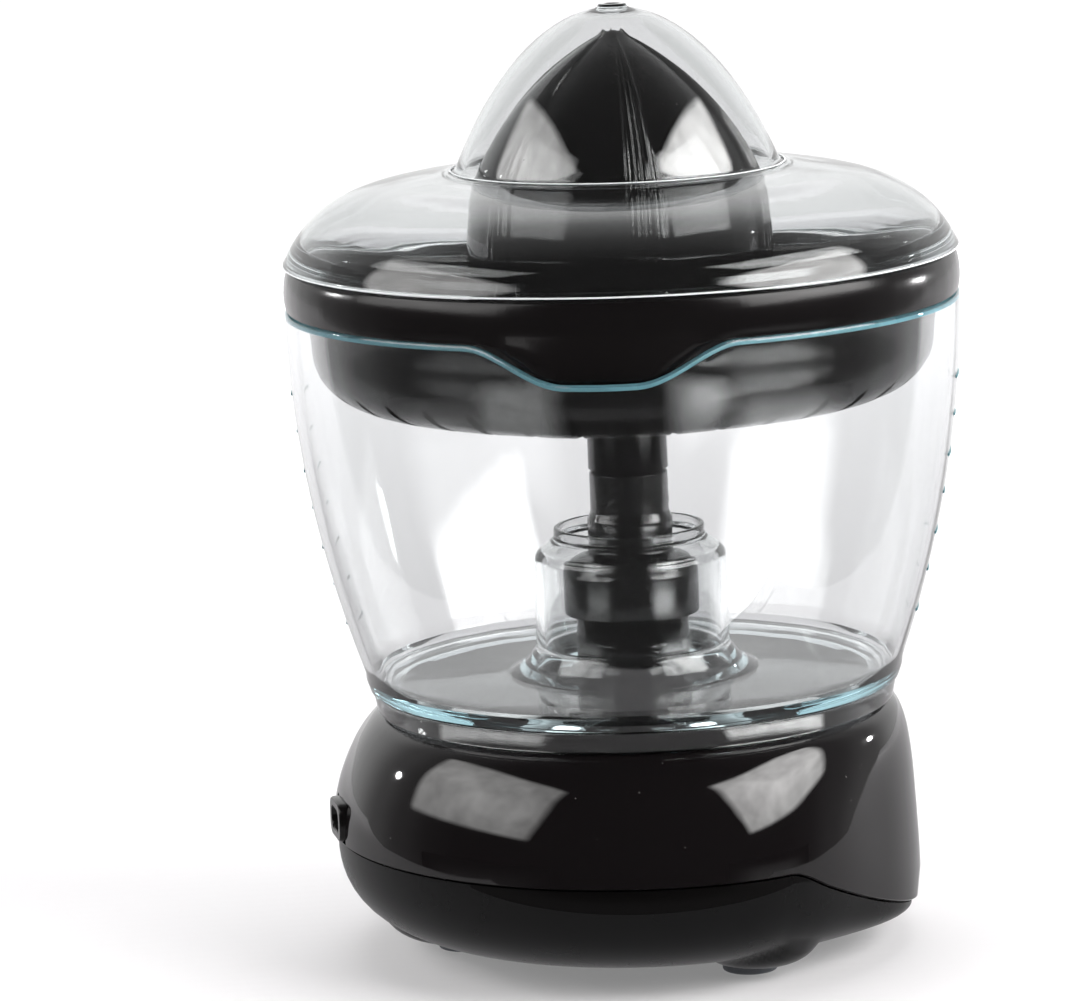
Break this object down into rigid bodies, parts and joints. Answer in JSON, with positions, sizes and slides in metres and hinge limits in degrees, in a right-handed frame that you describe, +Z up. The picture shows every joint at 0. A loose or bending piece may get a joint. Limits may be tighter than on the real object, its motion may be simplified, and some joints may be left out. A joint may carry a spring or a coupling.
{
  "type": "electric citrus press juicer",
  "caption": "Electric citrus press: black motor base, clear jug with a pouring spout, strainer basket, nested ribbed reamers and a clear domed dust cover.",
  "frame": {"origin": "on the spindle's axis at the level of the table top, which is the centre of the bounding box's foot but for the spout", "axes": "+Z up along the spindle, the flat front panel of the base faces -Y, the pouring spout points about -X and the mains outlet faces +Y"},
  "size_m": [0.1506, 0.148, 0.2082],
  "materials": {
    "clear_plastic": "clear, polished",
    "gloss_black": "polished piano black",
    "satin_black": "fine satin",
    "steel": "turned",
    "foot_rubber": "matt",
    "bush_plastic": "as moulded acetal",
    "gear_nylon": "as moulded nylon",
    "brass": "machined",
    "zinc_plate": "zinc plated sheet",
    "sintered_bronze": "sintered bronze",
    "thrust_plastic": "as moulded acetal",
    "lamination_steel": "stacked electrical steel",
    "coil_tape": "yellow winding tape",
    "bearing_zinc": "die cast",
    "switch_case": "moulded thermoset",
    "switch_red": "moulded"
  },
  "bodies": {
    "base": {"upper_housing": "gloss_black", "lower_housing": "satin_black", "cord_outlet_bezel": "satin_black", "foot_pad_1": "foot_rubber", "foot_pad_2": "foot_rubber", "foot_pad_3": "foot_rubber", "housing_screw_1": "steel", "housing_screw_2": "steel", "housing_screw_3": "steel", "plate_screw_1": "steel", "plate_screw_2": "steel", "plate_screw_3": "steel", "gear_plate": "zinc_plate", "first_gear_pin": "steel", "second_gear_pin": "steel", "lower_spindle_bush": "sintered_bronze", "upper_spindle_bush": "sintered_bronze", "motor_core": "lamination_steel", "motor_coil": "coil_tape", "lower_motor_bracket": "bearing_zinc", "upper_motor_bracket": "bearing_zinc", "motor_bolt_1": "steel", "motor_bolt_2": "steel", "micro_switch": "switch_case", "return_spring": "steel"},
    "jug_body": {"jug": "clear_plastic"},
    "strainer_body": {"strainer_basket": "satin_black"},
    "cover_body": {"dust_cover": "clear_plastic"},
    "bush_body": {"reamer_bush": "bush_plastic"},
    "small_reamer_body": {"small_reamer": "gloss_black"},
    "large_reamer_body": {"large_reamer": "gloss_black"},
    "thrust_body": {"thrust_pad": "thrust_plastic"},
    "spindle_body": {"spindle": "steel", "drive_hub": "gloss_black", "output_gear": "gear_nylon"},
    "second_gear_body": {"second_gear": "gear_nylon"},
    "first_gear_body": {"first_gear": "gear_nylon"},
    "rotor_body": {"rotor": "lamination_steel", "motor_shaft": "steel", "motor_pinion": "brass"},
    "lever_body": {"switch_lever": "steel"},
    "button_body": {"switch_button": "switch_red"}
  },
  "joints": [
    {"name": "jug_lift", "type": "slide", "parent": "base", "child": "jug_body", "axis": [0, 0, 1], "range_m": [0, 0.14]},
    {"name": "strainer_lift", "type": "slide", "parent": "jug_body", "child": "strainer_body", "axis": [0, 0, 1], "range_m": [0, 0.09]},
    {"name": "cover_lift", "type": "slide", "parent": "strainer_body", "child": "cover_body", "axis": [0, 0, 1], "range_m": [0, 0.1]},
    {"name": "reamer_press", "type": "slide", "parent": "strainer_body", "child": "bush_body", "axis": [0, 0, -1], "range_m": [0, 0.002], "stiffness_N_per_m": 1500, "springref_m": -0.004},
    {"name": "reamer_spin", "type": "hinge", "parent": "bush_body", "child": "small_reamer_body", "pos_m": [0, 0, 0], "axis": [0, 0, 1], "continuous": true},
    {"name": "large_reamer_lift", "type": "slide", "parent": "small_reamer_body", "child": "large_reamer_body", "axis": [0, 0, 1], "range_m": [0, 0.003]},
    {"name": "spindle_press", "type": "slide", "parent": "base", "child": "thrust_body", "axis": [0, 0, -1], "range_m": [0, 0.002], "deforming": ["return_spring"]},
    {"name": "spindle_spin", "type": "hinge", "parent": "thrust_body", "child": "spindle_body", "pos_m": [0, 0, 0], "axis": [0, 0, 1], "continuous": true},
    {"name": "second_gear_spin", "type": "hinge", "parent": "base", "child": "second_gear_body", "pos_m": [-0.0239, 0.00221, 0], "axis": [0, 0, 1], "continuous": true},
    {"name": "first_gear_spin", "type": "hinge", "parent": "base", "child": "first_gear_body", "pos_m": [-0.01419, -0.01435, 0], "axis": [0, 0, 1], "continuous": true},
    {"name": "rotor_spin", "type": "hinge", "parent": "base", "child": "rotor_body", "pos_m": [-0.01, -0.03, 0], "axis": [0, 0, 1], "continuous": true},
    {"name": "lever_turn", "type": "hinge", "parent": "base", "child": "lever_body", "pos_m": [0, 0.0125, 0.0154], "axis": [1, 0, 0], "range_deg": [0, 9.7]},
    {"name": "button_press", "type": "slide", "parent": "base", "child": "button_body", "axis": [0, 0, -1], "range_m": [0, 0.0015]}
  ],
  "couplings": [
    {"joint": "spindle_press", "follows": "reamer_press", "ratio": 1},
    {"joint": "lever_turn", "follows": "reamer_press", "rad_per_m": 84},
    {"joint": "button_press", "follows": "reamer_press", "ratio": 0.7},
    {"joint": "spindle_spin", "follows": "reamer_spin", "ratio": 1},
    {"joint": "second_gear_spin", "follows": "reamer_spin", "ratio": -3},
    {"joint": "first_gear_spin", "follows": "reamer_spin", "ratio": 9},
    {"joint": "rotor_spin", "follows": "reamer_spin", "ratio": -31.5}
  ]
}
